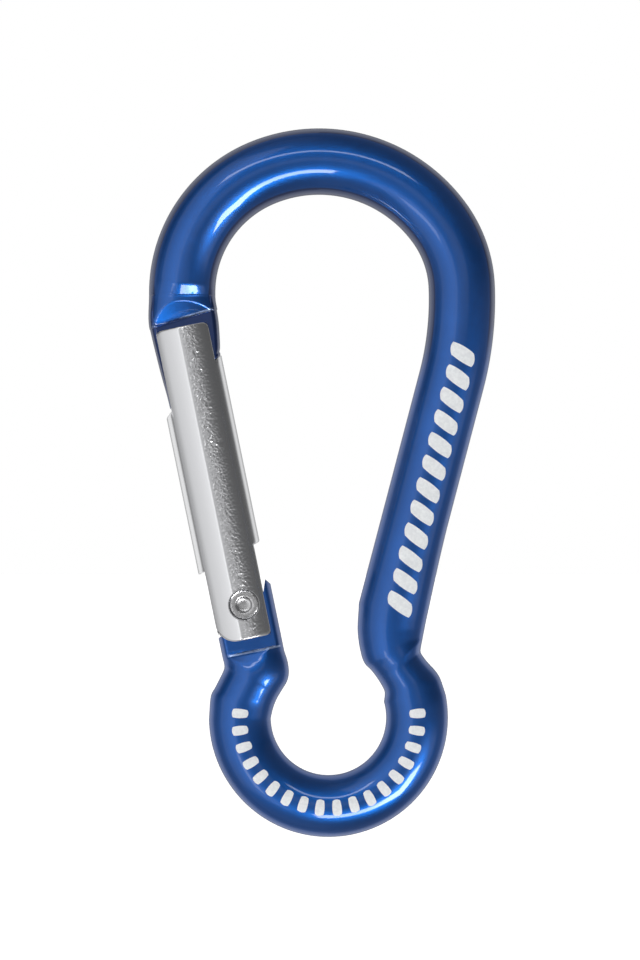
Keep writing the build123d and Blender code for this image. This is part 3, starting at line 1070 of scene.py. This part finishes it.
floor_material = metal("pale_floor", floor_paint, Roughness=0.8, Emission_Strength=0.75)
floor_material.node_tree.nodes["Principled BSDF"].inputs["Emission Color"].default_value = (1, 1, 1, 1)
floor_mesh.materials.append(floor_material)

# The studio, seen in reflections and as light only. Panels and flags in front of the printed face:
# azimuths from straight ahead, heights, and softness, all in degrees.
FRONT_GLOW = ((-20, 22), (0, 12), 5)
LEFT_WALL = ((-76, -17), (-40, 60), 4)
LEFT_STRIP = ((-33, -25), (-30, -13), 1.5)
LOW_BAR = ((-5, 52), (-42, -31), 1.2)
LOW_CORNER = ((33, 52), (-31, -23), 1.2)
LOW_GLOW = ((15, 82), (-42, -10), 6)
HIGH_BAR = ((-30, 26), (31, 36), 1.5)
RIGHT_FLAG = ((20, 120), (3, 20), 4)
LEFT_FLAG = ((-120, -78), (2, 62), 6)
LEAST_LIGHT = 0.03
DEGREES = 180 / pi

world = bpy.data.worlds.new("studio")
bpy.context.scene.world = world
world.use_nodes = True
sky = Graph(world.node_tree)
direction = sky.node("ShaderNodeTexCoord").outputs["Generated"]
axes = sky.node("ShaderNodeSeparateXYZ", {"Vector": direction}).outputs
depth = sky.math("ABSOLUTE", axes["Y"])
azimuth = sky.math("MULTIPLY", sky.math("ARCTAN2", axes["X"], depth), DEGREES)
height = sky.math("MULTIPLY", sky.math("ARCSINE", axes["Z"]), DEGREES)
front = sky.step(axes["Y"], 0.05, -0.05)


def panel(where, strength):
    """A soft-edged rectangle of light."""
    azimuths, heights, soft = where
    total = strength
    for angle, (first, last) in ((azimuth, azimuths), (height, heights)):
        total = sky.math("MULTIPLY", total, sky.step(angle, first - soft, first + soft))
        total = sky.math("MULTIPLY", total, sky.fall(angle, last - soft, last + soft))
    return total


def growing(angle, first, last, more, least):
    """A strength that grows from least by more between two angles."""
    return sky.math("MULTIPLY_ADD", sky.step(angle, first, last), more, least)


base = growing(height, 5.0, 25.0, -0.12, 0.32)
near = total_of(
    sky,
    growing(azimuth, -20.0, 30.0, -0.12, 0.12),
    panel(FRONT_GLOW, 0.34),
    panel(LEFT_WALL, growing(azimuth, -66.0, -20.0, 0.30, 0.42)),
    panel(LEFT_STRIP, 2.0),
    panel(LOW_BAR, growing(azimuth, 16.0, 30.0, 6.0, 12.0)),
    panel(LOW_CORNER, 16.0),
    panel(LOW_GLOW, 0.6),
    panel(HIGH_BAR, 5.0),
)
flags = sky.math(
    "ADD",
    panel(RIGHT_FLAG, sky.math("MULTIPLY", sky.step(azimuth, 5.0, 60.0), -0.12)),
    panel(LEFT_FLAG, -0.13),
)

# Behind, a broad light that starts a little way round from the sides and is weaker straight behind.
right = sky.step(azimuth, -1.0, 1.0)
round_side = sky.step(sky.math("MULTIPLY_ADD", right, -0.08, depth), 0.34, 0.50)
straight = sky.math("MULTIPLY", sky.step(depth, 0.80, 0.92), -0.40)
far = total_of(sky, sky.math("MULTIPLY", round_side, 0.50), straight)

lit_near = sky.math("MULTIPLY", near, front)
lit_far = sky.math("MULTIPLY", far, sky.math("SUBTRACT", 1.0, front))
level = total_of(sky, base, flags, sky.math("ADD", lit_near, lit_far))
level = sky.math("MAXIMUM", level, LEAST_LIGHT)
seen = sky.node("ShaderNodeLightPath").outputs["Is Camera Ray"]
strength = sky.math("ADD", sky.math("MULTIPLY", level, sky.math("SUBTRACT", 1.0, seen)), seen)
background = sky.node("ShaderNodeBackground", {"Color": (1, 1, 1, 1), "Strength": strength})
sky.node("ShaderNodeOutputWorld", {"Surface": background.outputs[0]})

bpy.context.scene.view_settings.view_transform = "Standard"

LENS = 180.0
SENSOR = 36.0
VIEW_HEIGHT = 0.10836
VIEW_SHIFT = Vector((-0.00021, 0, 0.0003))
CLIP = (0.01, 20.0)
camera_data = bpy.data.cameras.new("camera")
camera_data.lens = LENS
camera_data.sensor_width = SENSOR
camera_data.clip_start, camera_data.clip_end = CLIP
camera = bpy.data.objects.new("camera", camera_data)
bpy.context.scene.collection.objects.link(camera)
distance = VIEW_HEIGHT * LENS / SENSOR
camera.location = middle + VIEW_SHIFT - Y_AXIS * distance
camera.rotation_euler = (radians(90), 0, 0)
bpy.context.scene.camera = camera
